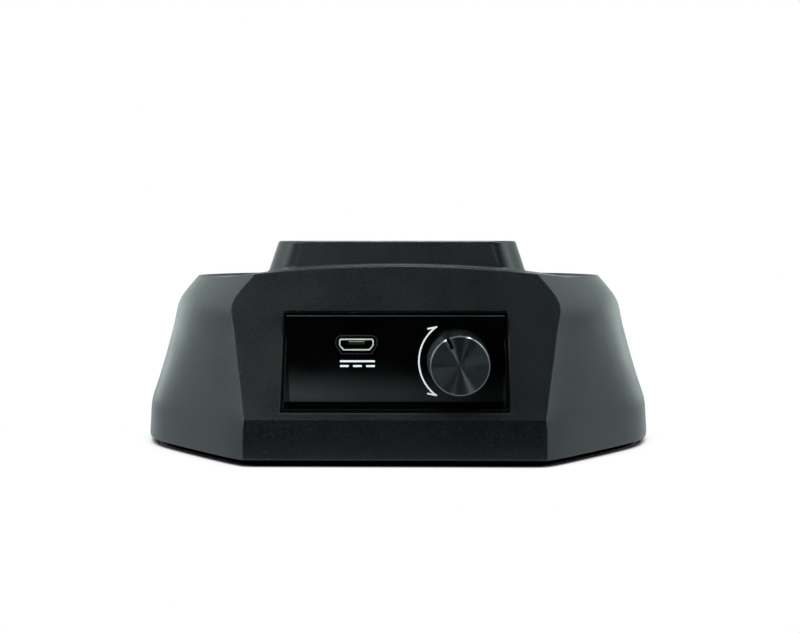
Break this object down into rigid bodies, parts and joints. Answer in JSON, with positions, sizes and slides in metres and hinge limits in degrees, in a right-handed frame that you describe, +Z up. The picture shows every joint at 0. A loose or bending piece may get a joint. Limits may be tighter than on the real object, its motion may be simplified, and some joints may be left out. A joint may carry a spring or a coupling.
{
  "type": "magnetic stirrer",
  "caption": "Round bench-top magnetic stirrer with a raised square platform, a leaning control panel, one speed knob and a micro power socket.",
  "frame": {"origin": "on the table plane, at the middle of the part's box seen from above; the drive axis stands 2.2 mm nearer the panel, at y = -2.2 mm", "axes": "+Z up along the drive axis, -Y out of the control panel, +X to the right seen from the panel"},
  "size_m": [0.123, 0.1185, 0.0482],
  "materials": {
    "casing_abs": "fine moulded texture",
    "base_abs": "matt",
    "zinc_screw": "bright zinc",
    "foot_rubber": "matt",
    "grommet_rubber": "matt",
    "panel_gloss": "gloss",
    "nickel_shell": "nickel plate",
    "socket_plastic": "matt",
    "gold_contact": "gold flash",
    "board_laminate": "solder mask",
    "chip_epoxy": "matt",
    "capacitor_can": "sleeved can",
    "coil_ferrite": "matt",
    "plug_nylon": "natural nylon",
    "cap_nylon": "matt",
    "holder_nylon": "natural nylon",
    "pot_phenolic": "moulded phenolic",
    "turned_brass": "turned",
    "motor_steel": "zinc plate",
    "bearing_bronze": "sintered",
    "ferrite_magnet": "sintered ferrite",
    "brush_carbon": "pressed carbon",
    "bracket_steel": "zinc plate",
    "lead_red": "pvc sleeve",
    "lead_black": "pvc sleeve",
    "knob_aluminium": "black anodised, turned",
    "shaft_aluminium": "satin",
    "shaft_steel": "ground",
    "core_steel": "laminated",
    "copper_wire": "enamelled wire",
    "commutator_copper": "turned",
    "nickel_magnet": "nickel plate"
  },
  "bodies": {
    "base": {"top_housing": "casing_abs", "base_plate": "base_abs", "base_screws": "zinc_screw", "rubber_feet": "foot_rubber", "control_panel": "panel_gloss", "panel_screws": "zinc_screw", "socket_shell": "nickel_shell", "socket_tongue": "socket_plastic", "socket_contacts": "gold_contact", "control_board": "board_laminate", "board_screws": "zinc_screw", "driver_chip": "chip_epoxy", "filter_capacitor": "capacitor_can", "power_coil": "coil_ferrite", "motor_plug": "plug_nylon", "pot_housing": "pot_phenolic", "pot_bushing": "turned_brass", "pot_washer": "nickel_shell", "pot_nut": "nickel_shell", "pot_pins": "nickel_shell", "motor_can": "motor_steel", "motor_end_cap": "cap_nylon", "upper_bearing": "bearing_bronze", "lower_bearing": "bearing_bronze", "field_magnets": "ferrite_magnet", "motor_brushes": "brush_carbon", "motor_terminals": "turned_brass", "motor_bracket": "bracket_steel", "motor_screws": "zinc_screw", "rubber_grommets": "grommet_rubber", "bracket_screws": "zinc_screw", "motor_lead_left": "lead_red", "motor_lead_right": "lead_black"},
    "knob": {"speed_knob": "knob_aluminium", "knob_insert": "cap_nylon", "pot_shaft": "shaft_aluminium", "pot_wiper": "pot_phenolic"},
    "rotor": {"motor_shaft": "shaft_steel", "armature_core": "core_steel", "armature_windings": "copper_wire", "commutator": "commutator_copper", "magnet_holder": "holder_nylon", "yoke_plate": "bracket_steel", "stirring_magnets": "nickel_magnet"}
  },
  "joints": [
    {"name": "knob_turn", "type": "hinge", "parent": "base", "child": "knob", "pos_m": [0.0136, -0.0452, 0.0221], "axis": [0, 1, 0], "range_deg": [-126, 174]},
    {"name": "rotor_spin", "type": "hinge", "parent": "base", "child": "rotor", "pos_m": [0, -0.0022, 0.03], "axis": [0, 0, 1], "continuous": true}
  ]
}
